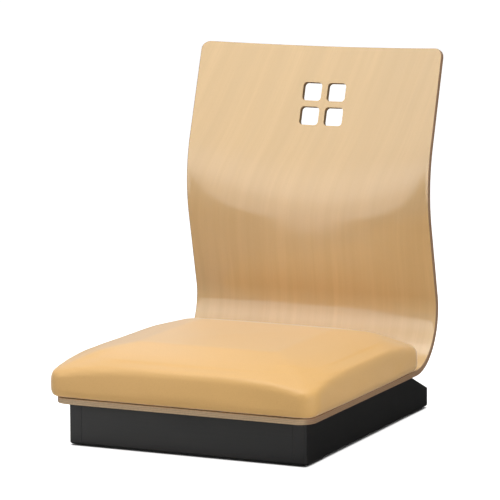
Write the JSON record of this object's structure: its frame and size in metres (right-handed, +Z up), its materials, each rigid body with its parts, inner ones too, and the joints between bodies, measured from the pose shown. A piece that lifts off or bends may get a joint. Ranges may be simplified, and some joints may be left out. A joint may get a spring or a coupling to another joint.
{
  "type": "floor chair",
  "caption": "Low legless floor chair: bent plywood seat and dished back with hand grip holes, a thick upholstered seat pad and a shallow dark box base.",
  "frame": {"origin": "on the floor, midway across the chair and midway between its front and its rear", "axes": "+Z up, the sitter faces -Y, +X to the viewer's right when the chair is seen from its front"},
  "size_m": [0.438, 0.5806, 0.5702],
  "materials": {
    "plywood": "satin",
    "pad_cover": "satin",
    "foam": "matte",
    "pad_board_wood": "matte",
    "dark_stained_wood": "satin",
    "plain_wood": "matte",
    "zinc_steel": "satin",
    "brass": "satin",
    "felt": "matte"
  },
  "bodies": {
    "root": {"shell": "plywood", "cushion_cover": "pad_cover", "cushion_foam": "foam", "cushion_board": "pad_board_wood", "tee_nuts": "zinc_steel", "cushion_bolts": "zinc_steel", "cushion_washers": "zinc_steel", "base_side_left": "dark_stained_wood", "base_side_right": "dark_stained_wood", "base_front": "dark_stained_wood", "base_rear": "dark_stained_wood", "front_batten": "plain_wood", "rear_batten": "plain_wood", "front_corner_posts": "plain_wood", "rear_corner_posts": "plain_wood", "frame_dowels": "plain_wood", "post_screws": "zinc_steel", "shell_bolts": "zinc_steel", "batten_inserts": "brass", "felt_pads": "felt"}
  },
  "joints": []
}
